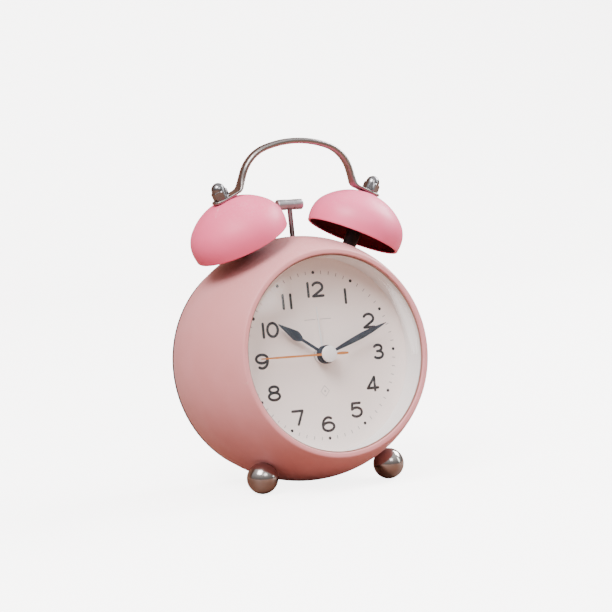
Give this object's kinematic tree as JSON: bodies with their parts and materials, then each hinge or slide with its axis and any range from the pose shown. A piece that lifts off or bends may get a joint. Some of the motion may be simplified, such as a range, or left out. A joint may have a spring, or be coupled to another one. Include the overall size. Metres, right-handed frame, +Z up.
{
  "type": "twin-bell alarm clock",
  "caption": "Twin-bell table alarm clock with a round deep case, domed lens, carry handle, hammer and ball feet.",
  "frame": {"origin": "on the ground under the middle of the clock, which stands on its two ball feet and the lower edge of its back cover", "axes": "+X to the right seen from the front, +Y backwards, +Z up"},
  "size_m": [0.0874, 0.061, 0.1227],
  "materials": {
    "case_paint": "matte dusty-pink stoved paint",
    "bell_paint": "satin rose-pink paint, dark red inside",
    "polished_steel": "polished, slightly warm steel",
    "plated_steel": "nickel-plated satin steel",
    "iron_core": "bare soft iron and magnet",
    "black_moulding": "fine-textured black moulding",
    "white_moulding": "smooth white moulding",
    "grey_moulding": "plain grey moulding",
    "clear_lens": "clear, domed",
    "brown_gasket": "thin brown rubber",
    "fibre": "red vulcanised fibre",
    "dial_print": "warm off-white printed face",
    "slate_hands": "satin slate-blue lacquer",
    "copper_hand": "copper-coloured lacquer",
    "white_hand": "white lacquer",
    "gear_nylon": "natural nylon",
    "arbor_brass": "turned brass",
    "copper_winding": "enamelled copper wire",
    "board_green": "green solder mask",
    "cell_jacket": "plain dark jacket"
  },
  "bodies": {
    "root": {"case_shell": "case_paint", "inner_frame": "grey_moulding", "rear_cover": "black_moulding", "rear_cover_screws": "plated_steel", "battery_cell": "cell_jacket", "battery_contacts": "plated_steel", "battery_spring": "plated_steel", "lens": "clear_lens", "lens_gasket": "brown_gasket", "dial_surround": "white_moulding", "dial_plate": "dial_print", "bell_left": "bell_paint", "bell_right": "bell_paint", "bell_posts": "plated_steel", "bell_spacers": "plated_steel", "bell_washers": "fibre", "acorn_nuts": "polished_steel", "carry_handle": "polished_steel", "centring_spring": "plated_steel", "striker_pivot": "plated_steel", "striker_bracket": "plated_steel", "striker_core": "iron_core", "striker_bobbins": "grey_moulding", "striker_windings": "copper_winding", "foot_balls": "polished_steel", "foot_screws": "plated_steel", "movement_front_housing": "grey_moulding", "movement_middle_plate": "grey_moulding", "movement_rear_housing": "grey_moulding", "circuit_board": "board_green", "quartz_crystal": "plated_steel", "stator": "iron_core", "coil_bobbin": "grey_moulding", "coil_winding": "copper_winding"},
    "second": {"second_wheel": "gear_nylon", "second_hand": "copper_hand", "hand_cap": "white_moulding"},
    "third": {"third_wheel": "gear_nylon"},
    "centre": {"centre_wheel": "gear_nylon"},
    "intermediate": {"intermediate_wheel": "gear_nylon"},
    "rotor": {"rotor": "gear_nylon"},
    "minute": {"minute_pipe": "arbor_brass", "minute_hand": "slate_hands"},
    "motion": {"motion_wheel": "gear_nylon"},
    "hour": {"hour_wheel": "gear_nylon", "hour_hand": "slate_hands"},
    "time_setting": {"time_setting_arbor": "arbor_brass", "time_setting_knob": "black_moulding"},
    "alarm": {"alarm_wheel": "gear_nylon", "alarm_hand": "white_hand"},
    "alarm_setting": {"alarm_setting_arbor": "arbor_brass", "alarm_setting_knob": "black_moulding"},
    "hammer": {"hammer_arm": "plated_steel", "hammer_head": "plated_steel", "striker_magnet": "iron_core"},
    "switch": {"alarm_switch": "white_moulding"},
    "door": {"battery_door": "black_moulding"}
  },
  "joints": [
    {"name": "second_hand_turn", "type": "hinge", "parent": "root", "child": "second", "pos_m": [0, -0.00476, 0.04495], "axis": [0, 0.986, -0.1669], "continuous": true},
    {"name": "third_wheel_turn", "type": "hinge", "parent": "root", "child": "third", "pos_m": [-0.00958, -0.00534, 0.04151], "axis": [0, 0.986, -0.1669], "continuous": true},
    {"name": "centre_wheel_turn", "type": "hinge", "parent": "root", "child": "centre", "pos_m": [0, -0.00476, 0.04495], "axis": [0, 0.986, -0.1669], "continuous": true},
    {"name": "intermediate_wheel_turn", "type": "hinge", "parent": "root", "child": "intermediate", "pos_m": [0.00385, -0.00587, 0.03838], "axis": [0, 0.986, -0.1669], "continuous": true},
    {"name": "rotor_turn", "type": "hinge", "parent": "root", "child": "rotor", "pos_m": [0.00905, -0.00637, 0.03542], "axis": [0, 0.986, -0.1669], "continuous": true},
    {"name": "minute_hand_turn", "type": "hinge", "parent": "root", "child": "minute", "pos_m": [0, -0.00476, 0.04495], "axis": [0, 0.986, -0.1669], "continuous": true},
    {"name": "motion_wheel_turn", "type": "hinge", "parent": "root", "child": "motion", "pos_m": [0.0094, -0.00419, 0.04832], "axis": [0, 0.986, -0.1669], "continuous": true},
    {"name": "hour_hand_turn", "type": "hinge", "parent": "root", "child": "hour", "pos_m": [0, -0.00476, 0.04495], "axis": [0, 0.986, -0.1669], "continuous": true},
    {"name": "time_setting_knob_turn", "type": "hinge", "parent": "root", "child": "time_setting", "pos_m": [0.01891, -0.00345, 0.0527], "axis": [0, 0.986, -0.1669], "continuous": true},
    {"name": "alarm_hand_turn", "type": "hinge", "parent": "root", "child": "alarm", "pos_m": [0, -0.00476, 0.04495], "axis": [0, 0.986, -0.1669], "continuous": true},
    {"name": "alarm_setting_knob_turn", "type": "hinge", "parent": "root", "child": "alarm_setting", "pos_m": [-0.01393, -0.00345, 0.05272], "axis": [0, 0.986, -0.1669], "continuous": true},
    {"name": "hammer_swing", "type": "hinge", "parent": "root", "child": "hammer", "pos_m": [0, 0.00518, 0.07674], "axis": [0, 0.986, -0.1669], "range_deg": [-8, 8], "stiffness_Nm_per_rad": 0.004},
    {"name": "alarm_switch_slide", "type": "slide", "parent": "root", "child": "switch", "axis": [1, 0, 0], "range_m": [0, 0.004]},
    {"name": "battery_door_lift_off", "type": "slide", "parent": "root", "child": "door", "axis": [0, 0.986, -0.1669], "range_m": [0, 0.03]}
  ],
  "couplings": [
    {"joint": "third_wheel_turn", "follows": "second_hand_turn", "ratio": -0.13333},
    {"joint": "centre_wheel_turn", "follows": "second_hand_turn", "ratio": 0.016667},
    {"joint": "intermediate_wheel_turn", "follows": "second_hand_turn", "ratio": -6},
    {"joint": "rotor_turn", "follows": "second_hand_turn", "ratio": 30},
    {"joint": "motion_wheel_turn", "follows": "minute_hand_turn", "ratio": -0.33333},
    {"joint": "hour_hand_turn", "follows": "minute_hand_turn", "ratio": 0.083333},
    {"joint": "time_setting_knob_turn", "follows": "minute_hand_turn", "ratio": 0.83333},
    {"joint": "alarm_setting_knob_turn", "follows": "alarm_hand_turn", "ratio": -1}
  ]
}
